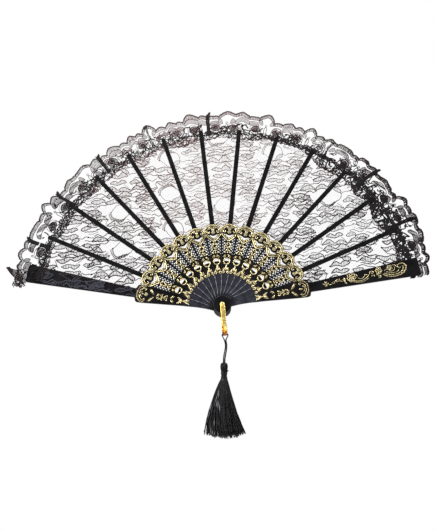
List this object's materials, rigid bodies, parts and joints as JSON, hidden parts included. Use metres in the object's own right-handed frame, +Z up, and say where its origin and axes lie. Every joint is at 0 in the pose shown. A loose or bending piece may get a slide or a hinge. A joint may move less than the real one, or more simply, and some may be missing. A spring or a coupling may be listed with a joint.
{
  "type": "folding hand fan",
  "caption": "Open folding hand fan with pierced gilt-relief sticks, two wide guards, a lace leaf with a gathered scalloped border, and a metal bail with a tassel on the rivet.",
  "frame": {"origin": "centre of the rivet, midway through the stack of blades", "axes": "+X towards the front guard's side, +Y out of the back of the fan, +Z up along the middle of the leaf; the front faces -Y"},
  "size_m": [0.4345, 0.0244, 0.3541],
  "materials": {
    "black_plastic": "satin black moulded plastic, with gold paint on its relief",
    "black_lace": "fine knitted nylon lace",
    "gold_metal": "bright gold plate, hammered on the bail",
    "black_rayon": "glossy twisted rayon"
  },
  "bodies": {
    "core": {"stick_07": "black_plastic", "rivet_pin": "gold_metal", "rivet_cap_front": "gold_metal", "rivet_cap_rear": "gold_metal", "leaf_07": "black_lace", "trim_07": "black_lace"},
    "blade_06": {"stick_06": "black_plastic", "leaf_06": "black_lace", "trim_06": "black_lace"},
    "blade_05": {"stick_05": "black_plastic", "leaf_05": "black_lace", "trim_05": "black_lace"},
    "blade_04": {"stick_04": "black_plastic", "leaf_04": "black_lace", "trim_04": "black_lace"},
    "blade_03": {"stick_03": "black_plastic", "leaf_03": "black_lace", "trim_03": "black_lace"},
    "blade_02": {"stick_02": "black_plastic", "leaf_02": "black_lace", "trim_02": "black_lace"},
    "blade_01": {"stick_01": "black_plastic", "leaf_01": "black_lace", "trim_01": "black_lace"},
    "blade_08": {"stick_08": "black_plastic", "leaf_08": "black_lace", "trim_08": "black_lace"},
    "blade_09": {"stick_09": "black_plastic", "leaf_09": "black_lace", "trim_09": "black_lace"},
    "blade_10": {"stick_10": "black_plastic", "leaf_10": "black_lace", "trim_10": "black_lace"},
    "blade_11": {"stick_11": "black_plastic", "leaf_11": "black_lace", "trim_11": "black_lace"},
    "blade_12": {"stick_12": "black_plastic", "leaf_12": "black_lace", "trim_12": "black_lace"},
    "front_blade": {"front_guard": "black_plastic", "leaf_front_guard": "black_lace", "trim_front_guard": "black_lace"},
    "rear_blade": {"rear_guard": "black_plastic", "leaf_rear_guard": "black_lace", "trim_rear_guard": "black_lace"},
    "bail_body": {"bail": "gold_metal"},
    "cord_body": {"tassel_cord": "black_rayon"},
    "tassel_body": {"tassel_head": "black_rayon", "tassel_binding": "black_rayon", "tassel_skirt": "black_rayon"}
  },
  "joints": [
    {"name": "fold_06", "type": "hinge", "parent": "core", "child": "blade_06", "pos_m": [0, 0, 0], "axis": [0, -1, 0], "range_deg": [0, 12.07]},
    {"name": "fold_05", "type": "hinge", "parent": "blade_06", "child": "blade_05", "pos_m": [0, 0, 0], "axis": [0, -1, 0], "range_deg": [0, 12.07]},
    {"name": "fold_04", "type": "hinge", "parent": "blade_05", "child": "blade_04", "pos_m": [0, 0, 0], "axis": [0, -1, 0], "range_deg": [0, 12.07]},
    {"name": "fold_03", "type": "hinge", "parent": "blade_04", "child": "blade_03", "pos_m": [0, 0, 0], "axis": [0, -1, 0], "range_deg": [0, 12.07]},
    {"name": "fold_02", "type": "hinge", "parent": "blade_03", "child": "blade_02", "pos_m": [0, 0, 0], "axis": [0, -1, 0], "range_deg": [0, 12.07]},
    {"name": "fold_01", "type": "hinge", "parent": "blade_02", "child": "blade_01", "pos_m": [0, 0, 0], "axis": [0, -1, 0], "range_deg": [0, 12.07]},
    {"name": "fold_front_guard", "type": "hinge", "parent": "blade_01", "child": "front_blade", "pos_m": [0, 0, 0], "axis": [0, -1, 0], "range_deg": [0, 12.81]},
    {"name": "fold_08", "type": "hinge", "parent": "core", "child": "blade_08", "pos_m": [0, 0, 0], "axis": [0, 1, 0], "range_deg": [0, 12.07]},
    {"name": "fold_09", "type": "hinge", "parent": "blade_08", "child": "blade_09", "pos_m": [0, 0, 0], "axis": [0, 1, 0], "range_deg": [0, 12.07]},
    {"name": "fold_10", "type": "hinge", "parent": "blade_09", "child": "blade_10", "pos_m": [0, 0, 0], "axis": [0, 1, 0], "range_deg": [0, 12.07]},
    {"name": "fold_11", "type": "hinge", "parent": "blade_10", "child": "blade_11", "pos_m": [0, 0, 0], "axis": [0, 1, 0], "range_deg": [0, 12.07]},
    {"name": "fold_12", "type": "hinge", "parent": "blade_11", "child": "blade_12", "pos_m": [0, 0, 0], "axis": [0, 1, 0], "range_deg": [0, 12.07]},
    {"name": "fold_rear_guard", "type": "hinge", "parent": "blade_12", "child": "rear_blade", "pos_m": [0, 0, 0], "axis": [0, 1, 0], "range_deg": [0, 12.31]},
    {"name": "bail_swing", "type": "hinge", "parent": "core", "child": "bail_body", "pos_m": [0, 0, 0], "axis": [0, 1, 0], "range_deg": [-55, 55]},
    {"name": "cord_swing", "type": "hinge", "parent": "bail_body", "child": "cord_body", "pos_m": [0, 0, -0.0299], "axis": [0, 1, 0], "range_deg": [-25, 25]},
    {"name": "tassel_swing", "type": "hinge", "parent": "cord_body", "child": "tassel_body", "pos_m": [0, 0, -0.059], "axis": [1, 0, 0], "range_deg": [-45, 45], "deforming": ["tassel_cord"]}
  ],
  "couplings": [
    {"joint": "fold_05", "follows": "fold_06", "ratio": 1},
    {"joint": "fold_04", "follows": "fold_06", "ratio": 1},
    {"joint": "fold_03", "follows": "fold_06", "ratio": 1},
    {"joint": "fold_02", "follows": "fold_06", "ratio": 1},
    {"joint": "fold_01", "follows": "fold_06", "ratio": 1},
    {"joint": "fold_front_guard", "follows": "fold_06", "ratio": 1.0605},
    {"joint": "fold_08", "follows": "fold_06", "ratio": 1},
    {"joint": "fold_09", "follows": "fold_06", "ratio": 1},
    {"joint": "fold_10", "follows": "fold_06", "ratio": 1},
    {"joint": "fold_11", "follows": "fold_06", "ratio": 1},
    {"joint": "fold_12", "follows": "fold_06", "ratio": 1},
    {"joint": "fold_rear_guard", "follows": "fold_06", "ratio": 1.0191}
  ]
}
